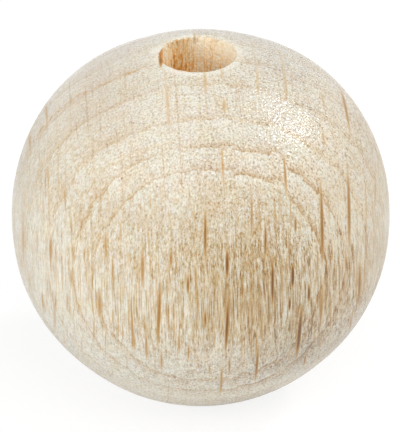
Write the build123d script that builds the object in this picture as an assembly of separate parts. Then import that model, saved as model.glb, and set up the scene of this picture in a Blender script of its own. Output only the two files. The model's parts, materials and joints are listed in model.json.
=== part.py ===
from build123d import *
from math import acos, cos, degrees, radians, sin
import os

# Wooden ball, turned from one piece of beech, with a bore drilled right through it along the grain.
# Millimetres. The origin is the middle of the ball and the bore runs along Z, so the ball stands upright
# on the edge of its lower mouth, as a drilled ball does on a bench.

# Driving dimensions
BALL_DIAMETER = 20.0  # nominal size of the ball
BORE_DIAMETER = 4.0  # size of the drill that passes through it
CROWN_DROP = 0.14  # how far the crown about the upper mouth lies below the true ball
CROWN_ANGLE = 29.0  # angle from the axis, in degrees, at which the crown ends
SHOULDER_ROUNDING = 3.0  # radius that softens the shoulder between the crown's skirt and the ball
MOUTH_ROUNDING = 0.18  # radius that tumbling leaves on the edge of each mouth
CUT_OVERRUN = 1.0  # how far the drill runs past the wood at each end

# The form cutter turns the crown about the same middle as the ball, a little smaller. Its skirt leaves the
# crown straight, at a tangent, and runs out until it meets the ball at the shoulder.
ball_radius = BALL_DIAMETER / 2
crown_radius = ball_radius - CROWN_DROP
shoulder_angle = CROWN_ANGLE + degrees(acos(crown_radius / ball_radius))


def outline_point(radius, angle):
    """Point of the half section at that radius from the middle and that angle from the upper axis."""
    return (radius * sin(radians(angle)), radius * cos(radians(angle)))


def turned_half():
    """Half of the ball's section as it leaves the lathe, closed along the axis."""
    crown = CenterArc((0, 0), crown_radius, 90, -CROWN_ANGLE)
    skirt = Line(crown @ 1, outline_point(ball_radius, shoulder_angle))
    belly = CenterArc((0, 0), ball_radius, 90 - shoulder_angle, shoulder_angle - 180)
    axis_line = Line(belly @ 1, crown @ 0)
    half = make_face([crown, skirt, belly, axis_line])
    shoulder = half.vertices().sort_by_distance(skirt @ 1)[0]
    return fillet(shoulder, SHOULDER_ROUNDING)


def drilled_half():
    """The half section less what the drill takes out, with the edges of both mouths rounded over."""
    drill = Rectangle(BORE_DIAMETER, BALL_DIAMETER + 2 * CUT_OVERRUN)
    section = turned_half() - drill
    mouth_edges = section.vertices().sort_by(Axis.X)[:2]
    return fillet(mouth_edges, MOUTH_ROUNDING)


ball = revolve(Plane.XZ * drilled_half(), Axis.Z)

os.makedirs("parts", exist_ok=True)
export_step(ball, "parts/ball.step")
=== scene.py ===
import json
from math import atan, cos, radians, sin
from types import SimpleNamespace

import bpy
import numpy as np
from mathutils import Matrix, Vector


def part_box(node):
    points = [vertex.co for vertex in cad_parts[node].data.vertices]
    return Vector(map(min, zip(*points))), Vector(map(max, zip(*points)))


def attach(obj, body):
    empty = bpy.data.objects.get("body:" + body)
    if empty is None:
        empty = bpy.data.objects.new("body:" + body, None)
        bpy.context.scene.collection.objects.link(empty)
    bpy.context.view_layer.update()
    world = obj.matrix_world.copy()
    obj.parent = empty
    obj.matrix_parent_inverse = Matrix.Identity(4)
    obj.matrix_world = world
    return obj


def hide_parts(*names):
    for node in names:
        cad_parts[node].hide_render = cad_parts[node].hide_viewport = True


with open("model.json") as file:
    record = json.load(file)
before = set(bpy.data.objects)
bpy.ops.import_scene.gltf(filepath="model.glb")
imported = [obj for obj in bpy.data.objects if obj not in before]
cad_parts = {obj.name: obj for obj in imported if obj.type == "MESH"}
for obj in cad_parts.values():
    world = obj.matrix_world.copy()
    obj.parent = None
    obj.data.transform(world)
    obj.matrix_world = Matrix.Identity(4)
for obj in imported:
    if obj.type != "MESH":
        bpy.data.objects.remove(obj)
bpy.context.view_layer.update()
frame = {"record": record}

# Wooden ball of unfinished beech, drilled along the grain. Metres, in the model's own frame: the bore runs
# along Z and the front faces -Y. Places marked "in the photo" are pixels of the 400 x 432 photograph.

MILLIMETRE = 0.001
BALL_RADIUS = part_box("ball")[1][0]
BORE_RADIUS = frame["record"]["mounts"][0]["dims"]["r_mm"] * MILLIMETRE
BORE_SHARE = BORE_RADIUS / BALL_RADIUS

# Camera
PHOTO_WIDTH = 400
PHOTO_HEIGHT = 432
BALL_MIDDLE_IN_PHOTO = (200.75, 215.95)
BALL_RADIUS_IN_PHOTO = 189.66
CAMERA_RISE = radians(29.0)
CAMERA_ROLL = radians(-1.0)
CAMERA_DISTANCE = 300 * MILLIMETRE
SENSOR_WIDTH = 36.0


# Photo to ball

def seen(across, down):
    """Point of a unit ball, in the ball's frame, that the camera sees at that place in the photo: where
    the line of sight first meets the ball."""
    right = (across - BALL_MIDDLE_IN_PHOTO[0]) / BALL_RADIUS_IN_PHOTO
    up = (BALL_MIDDLE_IN_PHOTO[1] - down) / BALL_RADIUS_IN_PHOTO
    far = CAMERA_DISTANCE / BALL_RADIUS
    slant = right ** 2 + up ** 2 + far ** 2
    reach = (far ** 2 - max(far ** 4 - slant * (far ** 2 - 1), 0) ** 0.5) / slant
    level_right = reach * (right * cos(CAMERA_ROLL) - up * sin(CAMERA_ROLL))
    level_up = reach * (right * sin(CAMERA_ROLL) + up * cos(CAMERA_ROLL))
    near = far * (1 - reach)
    back = level_up * sin(CAMERA_RISE) - near * cos(CAMERA_RISE)
    height = level_up * cos(CAMERA_RISE) + near * sin(CAMERA_RISE)
    return np.array((level_right, back, height))


# Rays: how far a sheet leans to the side as it runs back, how the sheets spread, and where they start
RAY_LEAN = 0.06
RAY_SPREAD = 0.04
RAY_FRONT = -0.8


def ray_sheet(x, y):
    """Number of the ray sheet through a point: rays run back into the ball and spread a little."""
    return x + (y - RAY_FRONT) * (RAY_LEAN + RAY_SPREAD * x)


# Ball surface

COLUMNS = 1000
OUTER_ROWS = 64
RIM_ROWS = 7
WALL_ROWS = 18
MOUTH_ROUNDING = 0.010

# How the outline leaves a true ball: share of the radius, angle from the upper axis, reach of the change
CROWN_DROP = (-0.0138, 37.3, -1.9)
FULL_SHOULDER = (0.0084, 54.2, 16.2)
WAIST = (-0.0052, 91.4, 11.0)
LOWER_HOLLOW = (-0.0029, 133.5, 9.3)
FULL_FOOT = (0.0041, 147.9, 6.0)

# Small unevenness: bumps per radius, and heights in radii
WAVE_BUMPS = 3.3
WAVE_HEIGHT = 0.0012
FIBRE_BUMPS = (70, 70, 4)
FIBRE_HEIGHT = 0.0007
FUZZ_BUMPS = 45
FINE_FUZZ_BUMPS = 95
FINE_FUZZ_SHARE = 0.7
FUZZ_HEIGHT = 0.0015
FUZZ_REACH = 0.03

# Places where the rim is worn: bearing and spread in degrees
WORN_RIM = ((25, 30), (80, 22), (125, 16), (176, 16))
WORN_HEIGHT = 0.006


def step(angle, size, middle, softness):
    """Change that sets in past an angle, or before it if the softness is negative."""
    return size / (1 + np.exp((middle - angle) / softness))


def swell(angle, size, middle, spread):
    """Change that is greatest at one angle and dies out on both sides."""
    return size * np.exp(-((angle - middle) / spread) ** 2)


def outline_share(angle):
    """Share of the ball's radius at that angle, in degrees, from the upper axis: one, less a drop within
    the crown's edge, plus a full shoulder, less a drawn-in waist and a shallow hollow below it, plus a
    fuller foot."""
    upper = 1 + step(angle, *CROWN_DROP) + swell(angle, *FULL_SHOULDER)
    return upper + swell(angle, *WAIST) + swell(angle, *LOWER_HOLLOW) + step(angle, *FULL_FOOT)


def section_loop():
    """Half section of the drilled ball as one closed loop, in radii: up the outside, over the upper rim,
    down the bore wall and round the lower rim."""
    rim = MOUTH_ROUNDING
    rim_out = BORE_SHARE + rim
    top_share = outline_share(np.degrees(np.arcsin(rim_out)))
    low_share = outline_share(180 - np.degrees(np.arcsin(rim_out)))
    top_rim = ((top_share - rim) ** 2 - rim_out ** 2) ** 0.5
    low_rim = -((low_share - rim) ** 2 - rim_out ** 2) ** 0.5
    top_angle = np.arctan2(rim_out, top_rim)
    low_angle = np.arctan2(rim_out, low_rim)
    angle = np.linspace(low_angle, top_angle, OUTER_ROWS)
    share = outline_share(np.degrees(angle))
    outside = np.stack((share * np.sin(angle), share * np.cos(angle)), 1)
    turn = np.linspace(np.pi / 2 - top_angle, np.pi, RIM_ROWS + 2)[1:]
    upper = np.stack((rim_out + rim * np.cos(turn), top_rim + rim * np.sin(turn)), 1)
    drop = np.sin(np.linspace(-np.pi / 2, np.pi / 2, WALL_ROWS + 2)[1:-1]) / 2 + 0.5
    wall = np.stack((np.full(WALL_ROWS, BORE_SHARE), top_rim + (low_rim - top_rim) * drop), 1)
    turn = np.linspace(np.pi, 2.5 * np.pi - low_angle, RIM_ROWS + 2)[:-1]
    lower = np.stack((rim_out + rim * np.cos(turn), low_rim + rim * np.sin(turn)), 1)
    return np.concatenate((outside, upper, wall, lower))


def lattice(seed):
    """Repeating block of random heights from -1 to 1, the corners that smooth_noise blends."""
    return np.random.default_rng(seed).uniform(-1, 1, (64, 64, 64))


def smooth_noise(points, corners):
    """Height at each point, blended smoothly from the eight whole-number corners round it."""
    cell = np.floor(points).astype(int)
    part = points - cell
    part = part * part * (3 - 2 * part)
    total = np.zeros(points.shape[:-1])
    for corner in np.ndindex(2, 2, 2):
        place = (cell + corner) % corners.shape[0]
        weight = np.prod(np.where(corner, part, 1 - part), -1)
        total += weight * corners[place[..., 0], place[..., 1], place[..., 2]]
    return total


def surface_normals(points):
    """Outward direction at each point of a grid that closes on itself both ways."""
    along_row = np.roll(points, -1, 1) - np.roll(points, 1, 1)
    along_column = np.roll(points, -1, 0) - np.roll(points, 1, 0)
    normal = np.cross(along_row, along_column)
    return normal / np.linalg.norm(normal, axis=-1, keepdims=True)


def ball_points():
    """The section loop swept round the axis, with the wood's small unevenness added along the normals:
    slow lathe waves, fibre ridges on the flanks, and fuzz on the rims, most where they are worn."""
    loop = section_loop()
    turn = np.linspace(0, 2 * np.pi, COLUMNS, endpoint=False)
    radius = loop[:, 0][:, None]
    height = np.broadcast_to(loop[:, 1][:, None], (len(loop), COLUMNS))
    points = np.stack((radius * np.cos(turn), radius * np.sin(turn), height), -1)
    normal = surface_normals(points)
    flank = 1 - normal[..., 2] ** 2
    waves = smooth_noise(points * WAVE_BUMPS + 9, lattice(11))
    fibres = smooth_noise(points * FIBRE_BUMPS + 17, lattice(12))
    fuzz = smooth_noise(points * FUZZ_BUMPS + 5, lattice(13))
    fuzz = fuzz + FINE_FUZZ_SHARE * smooth_noise(points * FINE_FUZZ_BUMPS + 3, lattice(14))
    at_bore = np.exp(-((radius - BORE_SHARE) / FUZZ_REACH) ** 2)
    at_ends = np.clip((abs(height) - 0.9) / 0.05, 0, 1)
    bearing = np.degrees(turn)
    worn = sum(np.exp(-((bearing - place) / spread) ** 2) for place, spread in WORN_RIM)
    relief = WAVE_HEIGHT * waves + FIBRE_HEIGHT * fibres * flank
    relief = relief + (FUZZ_HEIGHT + WORN_HEIGHT * worn) * fuzz * at_bore * at_ends
    return (points + relief[..., None] * normal) * BALL_RADIUS


def closed_grid(name, points):
    """Mesh object of quads over a grid of points that closes on itself both ways."""
    rows, columns = points.shape[:2]
    number = np.arange(rows * columns).reshape(rows, columns)
    beside = np.roll(number, -1, 1)
    above = np.roll(number, -1, 0)
    corner = np.roll(above, -1, 1)
    faces = np.stack((number, beside, corner, above), -1).reshape(-1, 4)
    mesh = bpy.data.meshes.new(name)
    mesh.vertices.add(rows * columns)
    mesh.vertices.foreach_set("co", points.reshape(-1))
    mesh.loops.add(faces.size)
    mesh.loops.foreach_set("vertex_index", faces.reshape(-1))
    mesh.polygons.add(len(faces))
    mesh.polygons.foreach_set("loop_start", np.arange(0, faces.size, 4))
    mesh.polygons.foreach_set("use_smooth", np.ones(len(faces), bool))
    mesh.update(calc_edges=True)
    thing = bpy.data.objects.new(name, mesh)
    bpy.context.scene.collection.objects.link(thing)
    return thing


# Material

def paint(red, green, blue):
    """Linear colour from screen values of 0 to 255."""
    screen = np.array((red, green, blue)) / 255
    linear = np.where(screen <= 0.04045, screen / 12.92, ((screen + 0.055) / 1.055) ** 2.4)
    return (*linear, 1.0)


class Recipe:
    """A material's nodes, joined as they are added."""

    def __init__(self, name):
        self.material = bpy.data.materials.new(name)
        self.material.use_nodes = True
        self.tree = self.material.node_tree
        self.tree.nodes.clear()

    def add(self, kind, feeds, **settings):
        """One node, with its settings, and a value or another node's socket for each named input."""
        node = self.tree.nodes.new(kind)
        for name, value in settings.items():
            setattr(node, name, value)
        for name, value in feeds.items():
            if isinstance(value, bpy.types.NodeSocket):
                self.tree.links.new(value, node.inputs[name])
            else:
                node.inputs[name].default_value = value
        return node

    def sum(self, operation, *values):
        """Result of one arithmetic step."""
        node = self.add("ShaderNodeMath", dict(enumerate(values)), operation=operation)
        return node.outputs[0]

    def times(self, first, *others):
        """Product of two or more numbers."""
        result = first
        for other in others:
            result = self.sum("MULTIPLY", result, other)
        return result

    def line(self, value, rise, base):
        """Number that is the base where the value is nought and rises evenly with it."""
        return self.sum("MULTIPLY_ADD", value, rise, base)

    def total(self, *terms):
        """Sum of (value, weight) pairs."""
        result = 0.0
        for value, weight in terms:
            result = self.sum("MULTIPLY_ADD", value, weight, result)
        return result

    def slope(self, first, second, rises, zero):
        """Number that rises evenly along two others, and is nought at a given pair of them."""
        start = self.line(first, rises[0], -np.dot(rises, zero))
        return self.sum("MULTIPLY_ADD", second, rises[1], start)

    def join(self, **parts):
        """Place made of three numbers, nought where one isn't given."""
        return self.add("ShaderNodeCombineXYZ", parts).outputs[0]

    def stretch(self, place, scale):
        """Place multiplied by a number for each axis."""
        return self.add("ShaderNodeVectorMath", {0: place, 1: scale}, operation="MULTIPLY").outputs[0]

    def noise(self, place, scale, detail=0.0, roughness=0.5):
        """Smooth noise about zero."""
        feeds = {"Vector": place, "Scale": scale, "Detail": detail, "Roughness": roughness}
        value = self.add("ShaderNodeTexNoise", feeds, noise_dimensions="3D").outputs["Fac"]
        return self.sum("SUBTRACT", value, 0.5)

    def fade(self, value, start, end):
        """Zero up to the start, one from the end on, smooth between."""
        feeds = {"Value": value, "From Min": start, "From Max": end}
        return self.add("ShaderNodeMapRange", feeds, interpolation_type="SMOOTHSTEP").outputs["Result"]

    def bands(self, value, stops):
        """Colour for a value, from (place, colour) stops."""
        node = self.add("ShaderNodeValToRGB", {"Fac": value})
        marks = node.color_ramp.elements
        while len(marks) < len(stops):
            marks.new(0.5)
        for mark, (place, colour) in zip(marks, stops):
            mark.position = place
        for mark, (place, colour) in zip(marks, stops):
            mark.color = colour
        return node.outputs["Color"]

    def curve(self, value, marks):
        """Number for a value, from (place, number) marks."""
        return self.bands(value, [(place, (number, number, number, 1.0)) for place, number in marks])

    def blend(self, share, first, second, mode="MIX"):
        """Mix of two colours."""
        feeds = {0: share, 6: first, 7: second}
        node = self.add("ShaderNodeMix", feeds, data_type="RGBA", blend_type=mode)
        return node.outputs[2]


def ball_places(wood):
    """Where a point of the wood lies, in ball radii: its place and the parts of it, its ray sheet, its level
    from the middle, its distance from the bore's axis, and its place counted along the rays and the grain."""
    coordinates = wood.add("ShaderNodeTexCoord", {}).outputs["Object"]
    place = wood.stretch(coordinates, (1 / BALL_RADIUS,) * 3)
    x, y, z = wood.add("ShaderNodeSeparateXYZ", {0: place}).outputs
    behind = wood.sum("SUBTRACT", y, RAY_FRONT)
    sheet = wood.sum("MULTIPLY_ADD", behind, wood.line(x, RAY_SPREAD, RAY_LEAN), x)
    square = wood.total((wood.times(x, x), 1.0), (wood.times(y, y), 1.0))
    return SimpleNamespace(
        place=place,
        x=x,
        y=y,
        z=z,
        sheet=sheet,
        level=wood.sum("ABSOLUTE", z),
        radius=wood.sum("SQRT", square),
        rays=wood.join(X=sheet, Y=y, Z=z),
        grain=wood.stretch(place, (1.0, 1.0, 0.038)),
    )


BELT_MIDDLE = 0.08
BELT_DROP = -0.12


def ball_zones(wood, at):
    """Parts of the ball, each a number from nought to one: side and end grain, what faces front or back and
    not sideways, the upper left, the right, and where the surface is torn or broken into chips. The belt is
    the distance from the middle of the side grain, which lies lower at the right."""
    belt_middle = wood.line(wood.fade(at.x, 0.30, 0.65), BELT_DROP, BELT_MIDDLE)
    belt = wood.sum("ABSOLUTE", wood.sum("SUBTRACT", at.z, belt_middle))
    side = wood.fade(belt, 0.56, 0.22)
    torn = wood.fade(at.level, 0.75, 0.45)
    return SimpleNamespace(
        belt=belt,
        side=side,
        end=wood.sum("SUBTRACT", 1.0, side),
        faced=wood.fade(wood.sum("ABSOLUTE", at.x), 0.98, 0.78),
        upper_left=wood.times(wood.fade(at.x, -0.15, -0.55), wood.fade(at.z, 0.50, 0.75)),
        right=wood.fade(at.x, 0.45, 0.75),
        torn=torn,
        broken=wood.times(torn, wood.line(side, -0.5, 1.0)),
    )


RAYS_PER_RADIUS = 11.0


def ray_columns(wood, at):
    """The wood between broad rays, as columns of uneven width: a random number for each column, and the
    thin ray lines that part them, broken along their length."""
    count = wood.total((at.sheet, RAYS_PER_RADIUS), (wood.noise(wood.join(X=at.sheet), 6.0), 1.6))
    number = wood.sum("FLOOR", count)
    chance = wood.add("ShaderNodeTexWhiteNoise", {"W": number}, noise_dimensions="1D").outputs["Value"]
    off_middle = wood.sum("ABSOLUTE", wood.sum("SUBTRACT", wood.sum("FRACT", count), 0.5))
    line = wood.fade(off_middle, 0.42, 0.50)
    along = wood.stretch(wood.join(X=at.sheet, Y=at.z), (14.0, 3.0, 1.0))
    broken = wood.fade(wood.noise(along, 1.0, 1.0), -0.06, 0.16)
    return chance, wood.times(line, broken)


RINGS_START = 0.599
RINGS_PER_RADIUS = 5.0
RINGS_CROWDING = 20.0
RINGS_FIRST = -2.55
RING_TILT = -0.113
RING_BOW = -0.081
LATE_WOOD = ((0.0, 1.0), (0.10, 0.72), (0.25, 0.48), (0.50, 0.20), (0.80, 0.03), (1.0, 0.0))
RING_LINE = ((0.0, 1.0), (0.03, 0.9), (0.10, 0.30), (0.20, 0.0))


def ring_count(wood, at, chance):
    """Number of the growth ring at a point, with its part of a year. The rings are gently curved sheets,
    stacked from the front of the ball to the back, and crowd at the front. They step a little from one ray
    column to the next."""
    scallop = wood.noise(wood.join(X=at.sheet, Z=at.z), 9.0, 1.0)
    depth = wood.total(
        (at.y, 1.0),
        (at.z, RING_TILT),
        (at.x, -0.060),
        (wood.times(at.x, at.x), RING_BOW),
        (wood.noise(at.place, 2.0), 0.02),
        (scallop, 0.035),
        (wood.noise(at.place, 55.0, 1.0), 0.014),
        (wood.fade(at.sheet, 0.425, 0.445), 0.022),
        (chance, 0.018),
    )
    depth = wood.sum("ADD", depth, RINGS_START)
    front = wood.sum("MINIMUM", depth, 0.0)
    count = wood.total((depth, RINGS_PER_RADIUS), (wood.times(front, front), -RINGS_CROWDING))
    return wood.sum("MAXIMUM", count, RINGS_FIRST)


def growth_rings(wood, at, chance):
    """How late in its year the wood grew, one at each ring's dark line and falling away softly behind it.
    Also the thin dark line alone, and fine threads along the rings. All change in strength from ring to ring
    and from one ray column to the next."""
    count = ring_count(wood, at, chance)
    part = wood.sum("FRACT", count)
    breaks = wood.fade(wood.noise(at.place, 4.0), -0.20, 0.10)
    newer = wood.fade(count, 0.3, -0.9)
    right = wood.times(wood.fade(at.x, 0.05, 0.40), newer)
    strength = wood.times(
        wood.line(newer, 0.50, 0.50),
        wood.line(breaks, 0.4, 0.6),
        wood.line(right, 0.5, 1.0),
        wood.line(chance, 0.5, 0.75),
    )
    edge = wood.times(wood.curve(part, RING_LINE), strength)
    lower_left = wood.times(wood.fade(at.x, -0.10, -0.40), wood.fade(at.z, 0.55, 0.30))
    late = wood.times(wood.curve(part, LATE_WOOD), strength, wood.line(lower_left, -0.5, 1.0))
    along_rings = wood.stretch(wood.join(X=count, Y=at.sheet, Z=at.z), (9.0, 2.5, 1.0))
    threads = wood.fade(wood.noise(along_rings, 1.0), 0.08, 0.26)
    return SimpleNamespace(late=late, edge=edge, threads=threads)


DARK_RING_DEPTH = 0.248


def dark_ring(wood, at):
    """One ring line that is darker than the rest, at the upper left: a thin sheet, broken into dashes."""
    depth = wood.total(
        (at.y, 1.0),
        (at.z, RING_TILT),
        (at.x, 0.060),
        (wood.times(at.x, at.x), RING_BOW),
        (wood.noise(at.place, 14.0), 0.03),
        (wood.noise(at.place, 60.0, 1.0), 0.08),
        (DARK_RING_DEPTH, 1.0),
    )
    line = wood.fade(wood.sum("ABSOLUTE", depth), 0.014, 0.002)
    dashes = wood.fade(wood.noise(at.place, 30.0, 1.0), -0.20, 0.12)
    return wood.times(line, dashes, wood.fade(at.x, -0.20, -0.34), wood.fade(at.z, 0.35, 0.55))


def chip_shades(wood, place):
    """A random number about zero for each of the small torn chips that the surface is broken into."""
    swirl_feeds = {"Vector": place, "Scale": 60.0, "Detail": 1.0}
    swirl = wood.add("ShaderNodeTexNoise", swirl_feeds).outputs["Color"]
    feeds = {0: swirl, 1: (0.03, 0.03, 0.03), 2: place}
    uneven = wood.add("ShaderNodeVectorMath", feeds, operation="MULTIPLY_ADD").outputs[0]
    cell_feeds = {"Vector": wood.stretch(uneven, (1.0, 1.0, 0.7)), "Scale": 46.0}
    cells = wood.add("ShaderNodeTexVoronoi", cell_feeds).outputs["Color"]
    red = wood.add("ShaderNodeSeparateColor", {0: cells}).outputs[0]
    return wood.sum("SUBTRACT", red, 0.5)


def open_vessels(wood, place):
    """The fine pores of the wood, cut open along the grain."""
    feeds = {"Vector": wood.stretch(place, (1.0, 1.0, 0.022)), "Scale": 44.0}
    distance = wood.add("ShaderNodeTexVoronoi", feeds).outputs["Distance"]
    return wood.fade(distance, 0.26, 0.06)


def wood_fibres(wood, at):
    """Fine marks of the wood: coarse and fine fibres, flakes, specks, chips, long and short rays, hairs."""
    ray_hairs = wood.noise(wood.stretch(at.rays, (1.0, 0.06, 0.12)), 80.0)
    return SimpleNamespace(
        coarse=wood.noise(at.grain, 72.0, 1.0, 0.6),
        fine=wood.noise(at.grain, 180.0, 1.0, 0.6),
        flake=wood.noise(wood.stretch(at.place, (1.0, 1.0, 0.50)), 100.0, 1.0, 0.6),
        speck=wood.noise(at.place, 230.0, 1.0, 0.6),
        chips=chip_shades(wood, at.place),
        long_rays=wood.noise(wood.stretch(at.rays, (1.0, 0.08, 0.030)), 105.0, 1.0, 0.6),
        short_rays=wood.noise(wood.stretch(at.rays, (1.0, 0.20, 0.090)), 150.0, 1.0, 0.6),
        hairs=wood.fade(ray_hairs, 0.10, 0.28),
        vessels=open_vessels(wood, at.place),
    )


# Warmer, darker patches and lighter ones: middle in the photo, reach in radii, weight, darker where positive.
# Most are the wood's own tone and the pale worn lips of the mouth; some are painted shade and painted light,
# marked below.
WOOD_AND_PAINTED_SHADING_PATCHES = (
    (262, 294, 0.45, 0.16),
    (330, 300, 0.45, 0.04),
    (300, 350, 0.40, 0.16),
    (283, 68, 0.22, 0.12),
    (215, 265, 0.50, 0.07),
    (215, 172, 0.24, 0.13),
    (290, 215, 0.30, 0.02),
    (360, 190, 0.40, -0.09),
    (40, 310, 0.60, -0.12),
    (100, 100, 0.45, 0.13),
    (100, 360, 0.35, -0.10),
    # painted shade along the upper-left edge
    (100, 62, 0.35, 0.12),
    (157, 48, 0.06, -0.25),
    (236, 48, 0.08, -0.20),
    (185, 34, 0.06, -0.20),
    (154, 54, 0.03, 0.40),
    (207, 31, 0.06, 0.22),
    (50, 230, 0.45, -0.09),
    (345, 230, 0.35, -0.09),
    (70, 300, 0.45, -0.11),
    # painted light: the right side lighter
    (325, 195, 0.40, -0.19),
    # painted shade: the top edge darker, in this row and the next two
    (130, 42, 0.20, 0.10),
    (200, 28, 0.14, 0.06),
    (270, 42, 0.20, 0.06),
    # painted sheen: the left and right edges lighter, in this row and the next
    (14, 216, 0.24, -0.14),
    (387, 216, 0.24, -0.16),
)


def wood_and_painted_shading_patches(wood, place):
    """Sum of the patches, each fading out to its reach: the wood's own tone, with some painted shade and
    painted light.
    """
    result = 0.0
    for across, down, reach, weight in WOOD_AND_PAINTED_SHADING_PATCHES:
        feeds = {0: place, 1: tuple(seen(across, down))}
        away = wood.add("ShaderNodeVectorMath", feeds, operation="DISTANCE").outputs["Value"]
        result = wood.sum("MULTIPLY_ADD", wood.fade(away, reach, 0.0), weight, result)
    return result


# Ray flecks on the front: upper end and lower end in the photo, width in pixels, strength
FLECKS = (
    (227, 245, 227.2, 283, 3.0, 1.06),
    (228.6, 289, 225, 358, 3.0, 1.05),
    (222, 362, 220, 398, 2.4, 0.6),
    (205, 203, 205, 265, 2.6, 0.88),
    (205.3, 308, 205.3, 331, 2.2, 0.86),
    (160.5, 271, 157, 351, 3.2, 0.78),
    (319.8, 171, 322.2, 274, 3.2, 0.85),
    (346, 152, 349, 257, 3.4, 0.75),
    (302, 300, 295.5, 362, 3.4, 1.15),
    (292.8, 262, 292.8, 290, 2.4, 1.45),
    (272.3, 254, 272.6, 310, 2.2, 1.2),
    (360, 256, 358, 310, 3.0, 0.85),
    (258.4, 341, 254.7, 384, 2.6, 0.82),
    (99.6, 285, 99.6, 323, 3.4, 0.6),
    (50.8, 231, 50.8, 266, 3.2, 0.6),
    (142.4, 242, 142.6, 293, 3.4, 0.65),
    (171, 247, 171, 270, 2.4, 0.7),
    (105.3, 225, 106.3, 266, 2.6, 0.55),
    (265.5, 218, 265, 263, 2.2, 0.9),
    (251.5, 183, 251.5, 243, 1.6, 0.7),
    (283.3, 150, 286.3, 195, 2.6, 0.65),
    (221, 137, 223.8, 192, 2.4, 0.55),
    (283, 61, 287, 105, 3.6, 0.32),
    (295.4, 213, 295.4, 236, 2.2, 0.78),
    (188, 272, 188, 298, 2.0, 0.9),
    (242.7, 279, 242.7, 302, 1.8, 0.8),
    (309, 282, 309, 305, 2.2, 1.15),
    (290, 296, 289.5, 313, 2.2, 1.1),
    (323, 275, 319, 336, 2.2, 0.65),
    (306.5, 351, 303, 368, 1.8, 0.75),
    (229.6, 355, 229, 376, 1.8, 0.7),
    (209.6, 361, 209.6, 377, 1.6, 0.5),
    (179, 330, 179, 356, 2.2, 0.6),
    (188.6, 343, 188.4, 362, 1.8, 0.6),
    (161.5, 347, 161.3, 374, 2.0, 0.55),
    (129, 287, 129, 343, 2.2, 0.32),
    (84.4, 245, 84.3, 264, 2.0, 0.5),
    (72, 267, 71.6, 291, 2.0, 0.5),
    (67.4, 291, 67.2, 314, 2.0, 0.45),
    (54.6, 299, 54.8, 333, 2.4, 0.36),
    (23, 207, 23.4, 265, 2.4, 0.45),
    (120.6, 215, 120.6, 246, 2.0, 0.4),
    (165.7, 69, 169.5, 139, 3.0, 0.32),
    (205.5, 72, 205.7, 98, 3.4, 0.32),
    (222.6, 70, 223.5, 86, 3.4, 0.28),
    (224.4, 100, 225, 116, 3.4, 0.42),
    (257, 62, 258.5, 103, 3.0, 0.28),
    (374.7, 169, 374.7, 211, 2.2, 0.45),
    (351, 313, 350, 330, 2.0, 0.62),
)
FLECK_WIDENING = 1.5

# Ray marks across the crown and over the shoulders, in the same way: a split at the left of the mouth, a
# ray behind it, and the flecks near the ball's edge
CROWN_MARKS = (
    (160, 51, 161, 67, 3.4, 0.9),
    (194, 29, 194.5, 36, 2.4, 0.42),
    (45.5, 106, 48, 136, 2.6, 0.5),
    (29, 134, 31, 163, 2.6, 0.5),
    (339.5, 88, 351, 143, 3.2, 0.75),
    (321, 92, 325, 112, 2.2, 0.45),
    (322.5, 132, 325, 150, 2.2, 0.45),
)

THIN_FLECK_STRENGTH = 0.55
BACK_FLECK_STRENGTH = 0.80
DARK_RING_STRENGTH = 0.55


def fleck_spots(wood, rows, sheet, run, axis):
    """Strength of listed ray flecks at each point: each is a thin lens on its ray sheet, and runs along
    the given axis. It falls from its strength to nothing with the square of the distance from the lens's
    middle, counted in half widths across it and half lengths along it."""
    strongest = 0.0
    for upper_x, upper_y, lower_x, lower_y, width, strength in rows:
        upper = seen(upper_x, upper_y)
        lower = seen(lower_x, lower_y)
        upper_flat = np.array((ray_sheet(*upper[:2]), upper[axis]))
        lower_flat = np.array((ray_sheet(*lower[:2]), lower[axis]))
        middle = (upper_flat + lower_flat) / 2
        reach = (upper_flat - lower_flat) / 2
        half_width = FLECK_WIDENING * width / 2 / BALL_RADIUS_IN_PHOTO
        half_length = np.hypot(*reach)
        lean = atan(reach[0] / reach[1])
        across = wood.slope(sheet, run, np.array((cos(lean), -sin(lean))) / half_width, middle)
        along = wood.slope(sheet, run, np.array((sin(lean), cos(lean))) / half_length, middle)
        away = wood.sum("MULTIPLY_ADD", along, along, wood.times(across, across))
        nearness = wood.line(away, -strength, strength)
        strongest = wood.sum("MAXIMUM", strongest, nearness)
    return strongest


def scattered_flecks(wood, at, zone):
    """Random ray flecks of the side grain: thin ones all round, and broad ones on the back."""
    thin = wood.noise(wood.stretch(at.rays, (1.0, 0.10, 0.035)), 82.0)
    thin = wood.times(wood.fade(thin, 0.16, 0.32), wood.fade(zone.belt, 0.62, 0.30), zone.faced)
    back = wood.noise(wood.stretch(at.rays, (1.0, 0.10, 0.060)), 46.0)
    back = wood.times(wood.fade(back, 0.17, 0.34), wood.fade(zone.belt, 0.75, 0.45), zone.faced)
    back = wood.times(back, wood.fade(at.y, 0.05, 0.35))
    thin = wood.times(thin, THIN_FLECK_STRENGTH)
    return wood.sum("MAXIMUM", thin, wood.times(back, BACK_FLECK_STRENGTH))


def ray_flecks(wood, at, zone):
    """Strength of all the dark marks: the listed flecks of the front, the scattered ones, the marks of
    the crown and the dark ring line. The flecks stop short of the bore, but the crown's marks run into its
    mouth."""
    spots = wood.times(fleck_spots(wood, FLECKS, at.sheet, at.z, 2), wood.fade(at.y, 0.35, 0.10))
    spots = wood.sum("MAXIMUM", spots, scattered_flecks(wood, at, zone))
    spots = wood.times(spots, wood.fade(at.radius, 0.200, 0.206))
    crown = fleck_spots(wood, CROWN_MARKS, at.sheet, at.y, 1)
    mouth = wood.sum("MAXIMUM", wood.fade(at.radius, 0.203, 0.209), wood.fade(at.z, 0.90, 0.945))
    crown = wood.times(crown, wood.fade(at.z, 0.25, 0.35), mouth)
    spots = wood.sum("MAXIMUM", spots, crown)
    return wood.sum("MAXIMUM", spots, wood.times(dark_ring(wood, at), DARK_RING_STRENGTH))


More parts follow.
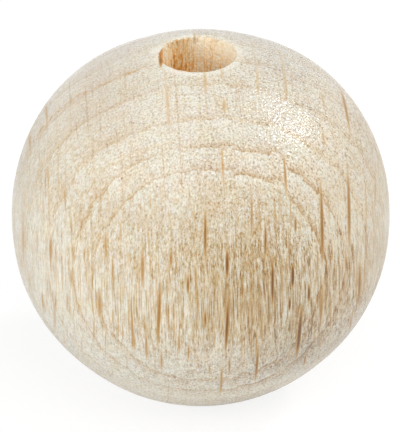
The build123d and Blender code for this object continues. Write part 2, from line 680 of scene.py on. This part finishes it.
def streak_tone(wood, at, zone, fibre):
    """Darkness of the fine fibres, specks and pores, with dark ones stronger than pale ones, and more
    contrast to the right and less where the wood turns sideways."""
    side_streaks = wood.total(
        (fibre.coarse, 0.43),
        (fibre.fine, 0.70),
        (wood.times(fibre.long_rays, zone.faced), 0.75),
        (wood.times(fibre.short_rays, zone.faced), 0.65),
    )
    streaks = wood.total(
        (fibre.coarse, 0.22),
        (fibre.fine, 0.45),
        (fibre.speck, 0.62),
        (wood.times(fibre.speck, wood.fade(at.x, 0.0, 0.6)), 0.35),
        (fibre.vessels, 0.20),
        (wood.times(side_streaks, zone.side), 0.93),
        (wood.times(fibre.flake, zone.end), 1.08),
    )
    gaps = wood.sum("MAXIMUM", streaks, 0.0)
    streaks = wood.total((streaks, 0.80), (gaps, 0.50))
    return wood.times(streaks, wood.line(at.x, 0.60, 1.08), wood.line(zone.faced, 0.6, 0.4))


def wood_tone(wood, at, zone, fibre, ring, ray_marks, torn_chips):
    """Darkness of the bare wood, from nought to one, with painted shade and painted light from some of the
    patches.
    """
    rim = wood.times(wood.fade(at.radius, 0.250, 0.220), wood.fade(at.level, 0.9, 0.95))
    drift = wood.noise(wood.stretch(at.place, (1.0, 1.0, 0.5)), 3.2, 2.0)
    return wood.total(
        (streak_tone(wood, at, zone, fibre), 1.0),
        (ring.late, 0.20),
        (fibre.hairs, 0.10),
        (wood.times(fibre.hairs, zone.upper_left), 0.05),
        (ring.threads, 0.05),
        (ray_marks, 0.15),
        (torn_chips, 0.20),
        (drift, 0.07),
        (zone.side, 0.05),
        # patches of the wood's tone, some of them painted shade and painted light
        (wood_and_painted_shading_patches(wood, at.place), 1.0),
        (rim, -0.20),
        (0.125, 1.0),
    )


# Colours of the end grain by darkness; their darker colours are greyer than the side grain's, partly painted
# shade of the fine torn fibres.
END_COLOURS = (
    (0.0, paint(238, 234, 222)),
    (0.15, paint(224, 218, 204)),
    (0.35, paint(208, 198, 183)),
    (0.55, paint(190, 176, 158)),
    (0.75, paint(167, 150, 129)),
    (1.0, paint(134, 112, 88)),
)
SIDE_COLOURS = (
    (0.0, paint(237, 232, 218)),
    (0.15, paint(223, 214, 197)),
    (0.35, paint(208, 190, 159)),
    (0.55, paint(194, 168, 126)),
    (0.75, paint(175, 142, 89)),
    (1.0, paint(141, 103, 52)),
)
GOLDEN_TINTS = ((0.15, (0.985, 1.0, 1.0, 1.0)), (0.85, (0.995, 0.952, 0.84, 1.0)))
ROSY_TINTS = ((0.15, (0.975, 1.0, 0.99, 1.0)), (0.85, (0.995, 0.950, 0.95, 1.0)))
RING_LINE_TINT = (0.86, 0.70, 0.48, 1.0)
RING_LINE_SHARE = 0.62


def golden_tint(wood, at, zone, fibre, ring, ray_marks, torn_chips):
    """Tint that runs from plain to golden, strongest in late wood, rays and torn chips."""
    golden = wood.total(
        (wood.noise(at.grain, 50.0, 2.0, 0.6), 1.8),
        (fibre.flake, 0.5),
        (wood.noise(at.place, 14.0), 0.9),
        (ring.late, 0.6),
        (ring.threads, 0.5),
        (fibre.hairs, 0.6),
        (ray_marks, 0.8),
        (torn_chips, 0.4),
        (zone.upper_left, 0.15),
        (zone.right, 0.30),
        (zone.end, -0.04),
        (0.30, 1.0),
    )
    return wood.bands(golden, GOLDEN_TINTS)


def rosy_tint(wood, at, zone, fibre, ring, ray_marks):
    """Tint that runs from plain to rosy in small spots, strongest in rays and late wood."""
    rosy = wood.total(
        (wood.noise(at.place, 42.0, 2.0, 0.6), 1.6),
        (zone.right, 0.15),
        (wood.noise(at.place, 11.0), 0.6),
        (ring.late, 0.3),
        (fibre.hairs, 0.2),
        (ray_marks, 0.5),
        (zone.upper_left, 0.12),
        (0.47, 1.0),
    )
    return wood.bands(rosy, ROSY_TINTS)


def bare_colour(wood, at, zone, fibre):
    """Colour of the turned wood without its flecks: end and side grain, two tints and the ring lines."""
    chance, ray_lines = ray_columns(wood, at)
    ring = growth_rings(wood, at, chance)
    ray_marks = wood.times(ray_lines, zone.end)
    torn_chips = wood.times(fibre.chips, zone.broken)
    tone = wood_tone(wood, at, zone, fibre, ring, ray_marks, torn_chips)
    flank = wood.times(wood.fade(at.z, -0.45, -0.05), wood.fade(at.z, 0.78, 0.42))
    colour = wood.blend(flank, wood.bands(tone, END_COLOURS), wood.bands(tone, SIDE_COLOURS))
    golden = golden_tint(wood, at, zone, fibre, ring, ray_marks, torn_chips)
    colour = wood.blend(1.0, colour, golden, "MULTIPLY")
    rosy = rosy_tint(wood, at, zone, fibre, ring, ray_marks)
    colour = wood.blend(1.0, colour, rosy, "MULTIPLY")
    return wood.blend(wood.times(ring.edge, RING_LINE_SHARE), colour, RING_LINE_TINT, "MULTIPLY")


# Shade of the bore wall from its left to its right: a dark slit, pale, brown, two rays, then lighter. The
# brown to the left and the lighter right are partly painted shade, since the left of the wall lies more in
# shade.
WALL_SHADES = (
    (0.0, 1.0),
    (0.03, 1.0),
    (0.05, 0.30),
    (0.12, 0.36),
    (0.19, 0.66),
    (0.36, 0.57),
    (0.425, 0.34),
    (0.44, 0.62),
    (0.46, 0.22),
    (0.64, 0.14),
    (0.67, 0.42),
    (0.70, 0.20),
    (0.85, 0.10),
    (1.0, 0.06),
)
# Colours of the bore wall by darkness: the palest, paler than the wood outside, are partly painted light, and
# the deep orange-browns are partly painted shade with its warm bounce light.
WALL_COLOURS = (
    (0.0, paint(255, 246, 222)),
    (0.30, paint(255, 230, 184)),
    (0.60, paint(240, 182, 98)),
    (0.80, paint(206, 132, 48)),
    (1.0, paint(150, 86, 26)),
)


def wall_colour(wood, at, fibre):
    """Colour of the drilled wall, with painted shade that darkens it downwards inside the upper mouth and
    towards its left, and short fibre dashes.
    """
    across = wood.line(at.x, 0.5 / BORE_SHARE, 0.5)
    dashes = wood.noise(wood.stretch(at.place, (1.0, 1.0, 0.32)), 100.0, 1.0, 0.6)
    tone = wood.total(
        (wood.curve(across, WALL_SHADES), 0.9),
        (fibre.coarse, 0.5),
        (fibre.fine, 0.9),
        (dashes, 1.1),
        # painted shade: darker deeper down the bore
        (at.z, -1.2),
        (0.98, 1.0),
    )
    return wood.bands(tone, WALL_COLOURS)


# How much a mark covers the wood, by its strength, and its colour
FLECK_COVER = ((0.0, 0.0), (0.10, 0.26), (0.30, 0.54), (0.50, 0.88), (0.70, 1.0))
FLECK_COLOURS = (
    (0.0, paint(216, 188, 142)),
    (0.40, paint(199, 160, 102)),
    (0.70, paint(175, 128, 62)),
    (1.0, paint(124, 80, 30)),
)

BUMP_DEPTH = 0.1 * MILLIMETRE
WOOD_ROUGHNESS = 0.20
WALL_EXTRA_ROUGHNESS = 0.70


def fibre_bump(wood, at, zone, fibre):
    """Fine relief: torn ridges along the fibres and chips on the flanks, and small facets all over."""
    ridges = wood.total((fibre.coarse, -0.5), (fibre.fine, -0.5), (fibre.flake, -0.8), (fibre.chips, -0.30))
    height = wood.total((wood.times(ridges, zone.torn), 1.0), (wood.noise(at.place, 75.0), 0.33))
    feeds = {"Strength": 1.0, "Distance": BUMP_DEPTH, "Height": height}
    return wood.add("ShaderNodeBump", feeds).outputs[0]


def beech_wood():
    """Unfinished beech, solid right through: growth rings, fibre streaks, vessels, ray flecks, and a drilled
    wall darkened partly by painted shade, with a pale rim."""
    wood = Recipe("beech")
    at = ball_places(wood)
    zone = ball_zones(wood, at)
    fibre = wood_fibres(wood, at)
    colour = bare_colour(wood, at, zone, fibre)
    ragged = wood.line(fibre.flake, 0.02, at.radius)
    in_bore = wood.times(wood.fade(ragged, 0.212, 0.206), wood.fade(at.level, 0.960, 0.953))
    colour = wood.blend(in_bore, colour, wall_colour(wood, at, fibre))
    spots = ray_flecks(wood, at, zone)
    colour = wood.blend(wood.curve(spots, FLECK_COVER), colour, wood.bands(spots, FLECK_COLOURS))
    near_bore = wood.fade(at.radius, 0.235, 0.205)
    feeds = {
        "Base Color": colour,
        "Roughness": wood.line(near_bore, WALL_EXTRA_ROUGHNESS, WOOD_ROUGHNESS),
        "IOR": 1.5,
        "Sheen Weight": 0.20,
        "Sheen Roughness": 0.4,
        "Normal": fibre_bump(wood, at, zone, fibre),
    }
    surface = wood.add("ShaderNodeBsdfPrincipled", feeds).outputs[0]
    wood.add("ShaderNodeOutputMaterial", {"Surface": surface})
    return wood.material


# Studio

FLOOR_HALF = 3.0
FLOOR_GLOW = 0.8
GLOW_LEVEL = 1.05
SKY_LEVEL = 0.47
WHITE = (1.0, 1.0, 1.0, 1.0)
PAPER_WHITE = (0.93, 0.93, 0.93, 1.0)


def white_paper():
    """Matte white paper. The camera sees it lit up from within, so a shadow on it is kept but stays pale."""
    paper = Recipe("white paper")
    feeds = {"Base Color": PAPER_WHITE, "Roughness": 1.0, "Specular IOR Level": 0.0}
    matte = paper.add("ShaderNodeBsdfPrincipled", feeds).outputs[0]
    glow = paper.add("ShaderNodeEmission", {"Color": WHITE, "Strength": GLOW_LEVEL}).outputs[0]
    camera_ray = paper.add("ShaderNodeLightPath", {}).outputs["Is Camera Ray"]
    share = paper.times(camera_ray, FLOOR_GLOW)
    surface = paper.add("ShaderNodeMixShader", {0: share, 1: matte, 2: glow}).outputs[0]
    paper.add("ShaderNodeOutputMaterial", {"Surface": surface})
    return paper.material


def bench_floor(level):
    """Wide white floor under the ball."""
    mesh = bpy.data.meshes.new("floor")
    half = FLOOR_HALF
    corners = ((-half, -half, level), (half, -half, level), (half, half, level), (-half, half, level))
    mesh.from_pydata(corners, (), ((0, 1, 2, 3),))
    floor = bpy.data.objects.new("floor", mesh)
    bpy.context.scene.collection.objects.link(floor)
    mesh.materials.append(white_paper())


def studio_sky():
    """Even light from all round, and plain white for the camera, for gloss and for glass."""
    world = bpy.data.worlds.new("studio")
    bpy.context.scene.world = world
    world.use_nodes = True
    tree = world.node_tree
    backdrop = tree.nodes["Background"]
    backdrop.inputs["Color"].default_value = WHITE
    path = tree.nodes.new("ShaderNodeLightPath")
    direct = tree.nodes.new("ShaderNodeMath")
    direct.operation = "MAXIMUM"
    tree.links.new(path.outputs["Is Camera Ray"], direct.inputs[0])
    tree.links.new(path.outputs["Is Glossy Ray"], direct.inputs[1])
    clear = tree.nodes.new("ShaderNodeMath")
    clear.operation = "MAXIMUM"
    tree.links.new(direct.outputs[0], clear.inputs[0])
    tree.links.new(path.outputs["Is Transmission Ray"], clear.inputs[1])
    level = tree.nodes.new("ShaderNodeMapRange")
    tree.links.new(clear.outputs[0], level.inputs["Value"])
    level.inputs["To Min"].default_value = SKY_LEVEL
    tree.links.new(level.outputs["Result"], backdrop.inputs["Strength"])


# Soft lamps: direction from the ball, distance and side in metres, power in watts
LAMPS = {
    "left lamp": ((-0.81, -0.47, 0.34), 0.6, 0.30, 1.52),
    "top lamp": ((0.22, -0.60, 0.77), 0.6, 0.35, 1.22),
    "highlight lamp": ((0.667, 0.257, 0.700), 0.5, 0.08, 0.74),
}


def soft_lamp(name, direction, distance, size, power):
    """Square soft lamp that shines on the ball from that direction."""
    lamp = bpy.data.lights.new(name, "AREA")
    lamp.shape = "SQUARE"
    lamp.size = size
    lamp.energy = power
    holder = bpy.data.objects.new(name, lamp)
    aim = Vector(direction).normalized()
    holder.location = aim * distance
    holder.rotation_euler = aim.to_track_quat("Z", "Y").to_euler()
    bpy.context.scene.collection.objects.link(holder)


def photo_camera():
    """Camera that frames the ball as in the photo."""
    camera = bpy.data.cameras.new("camera")
    frame_width = PHOTO_WIDTH / BALL_RADIUS_IN_PHOTO * BALL_RADIUS
    camera.sensor_fit = "HORIZONTAL"
    camera.sensor_width = SENSOR_WIDTH
    camera.lens = SENSOR_WIDTH * CAMERA_DISTANCE / frame_width
    camera.shift_x = (PHOTO_WIDTH / 2 - BALL_MIDDLE_IN_PHOTO[0]) / PHOTO_WIDTH
    camera.shift_y = (BALL_MIDDLE_IN_PHOTO[1] - PHOTO_HEIGHT / 2) / PHOTO_WIDTH
    camera.clip_start = 0.01
    camera.clip_end = 20
    holder = bpy.data.objects.new("camera", camera)
    aim = Matrix.Rotation(radians(90) - CAMERA_RISE, 4, "X") @ Matrix.Rotation(CAMERA_ROLL, 4, "Z")
    back = -CAMERA_DISTANCE * cos(CAMERA_RISE)
    height = CAMERA_DISTANCE * sin(CAMERA_RISE)
    holder.matrix_world = Matrix.Translation((0, back, height)) @ aim
    bpy.context.scene.collection.objects.link(holder)
    bpy.context.scene.camera = holder


# Assembly

surface_points = ball_points()
ball = closed_grid("turned_ball", surface_points)
ball.data.materials.append(beech_wood())
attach(ball, "root")
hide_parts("ball")

bench_floor(surface_points[..., 2].min())
studio_sky()
for lamp_name, lamp_setting in LAMPS.items():
    soft_lamp(lamp_name, *lamp_setting)
photo_camera()
bpy.context.scene.view_settings.view_transform = "Standard"
